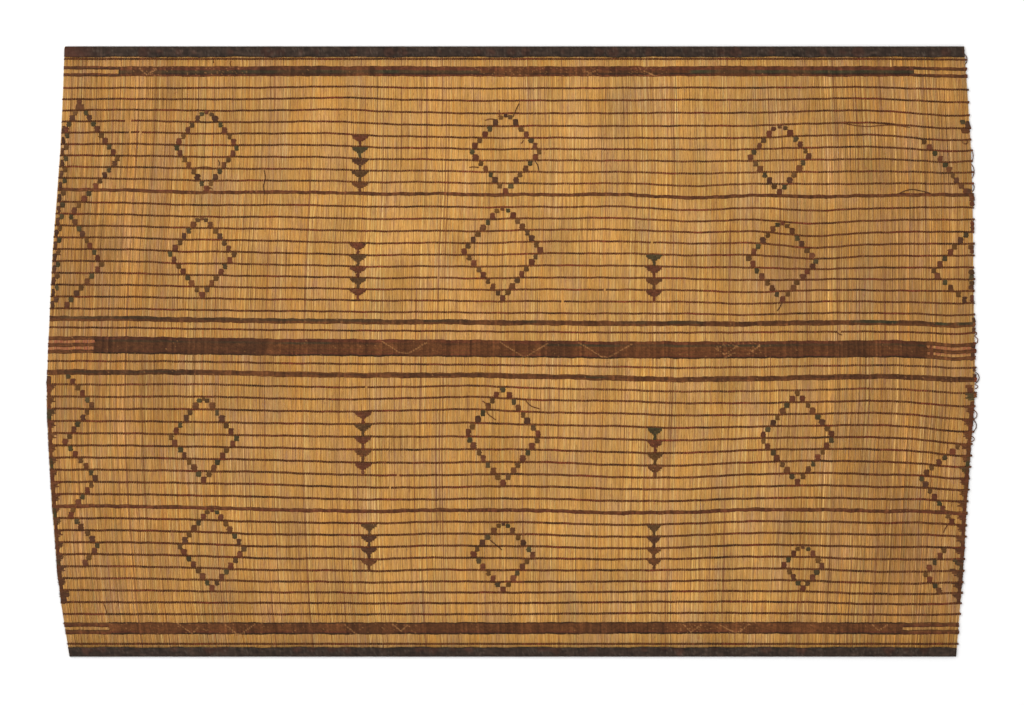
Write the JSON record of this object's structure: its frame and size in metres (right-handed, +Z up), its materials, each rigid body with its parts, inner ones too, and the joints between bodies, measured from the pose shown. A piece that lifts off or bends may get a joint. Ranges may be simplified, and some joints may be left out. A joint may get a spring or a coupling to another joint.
{
  "type": "leather-bound reed floor mat",
  "caption": "Flat floor mat of slim reeds laid side by side, bound with thin leather thongs, broad woven leather bands and a folded leather binding on both long edges.",
  "frame": {"origin": "on the floor, under the middle of the mat's box", "axes": "+Z up, out of the shown face; +X along the mat's length, across the reeds, to the picture's right; +Y along the reeds, to the picture's top"},
  "size_m": [2.664, 1.7498, 0.0058],
  "materials": {
    "reed": "dry golden grass stems, natural sheen",
    "binding_leather": "near-black goat leather, worn",
    "band_leather": "woven dark brown goat leather with green parts, worn",
    "thong_leather": "thin brown goat leather, worn"
  },
  "bodies": {
    "root": {"reed_panel": "reed", "binding_top": "binding_leather", "binding_bottom": "binding_leather", "band_top": "band_leather", "band_centre": "band_leather", "band_bottom": "band_leather", "stripe_upper": "band_leather", "stripe_lower": "band_leather", "thick_thong_upper": "band_leather", "thick_thong_lower": "band_leather", "thong_01": "thong_leather", "thong_02": "thong_leather", "thong_03": "thong_leather", "thong_04": "thong_leather", "thong_05": "thong_leather", "thong_06": "thong_leather", "thong_07": "thong_leather", "thong_08": "thong_leather", "thong_09": "thong_leather", "thong_10": "thong_leather", "thong_11": "thong_leather", "thong_12": "thong_leather", "thong_13": "thong_leather", "thong_14": "thong_leather", "thong_15": "thong_leather", "thong_16": "thong_leather", "thong_17": "thong_leather", "thong_18": "thong_leather", "thong_19": "thong_leather", "thong_20": "thong_leather", "thong_21": "thong_leather", "thong_22": "thong_leather", "thong_23": "thong_leather", "thong_24": "thong_leather", "thong_25": "thong_leather", "thong_26": "thong_leather", "thong_27": "thong_leather", "thong_28": "thong_leather", "thong_29": "thong_leather", "thong_30": "thong_leather", "thong_31": "thong_leather", "thong_32": "thong_leather", "thong_33": "thong_leather", "thong_34": "thong_leather", "thong_35": "thong_leather", "thong_36": "thong_leather", "thong_37": "thong_leather", "thong_38": "thong_leather", "thong_39": "thong_leather", "thong_40": "thong_leather", "thong_41": "thong_leather", "thong_42": "thong_leather"}
  },
  "joints": []
}
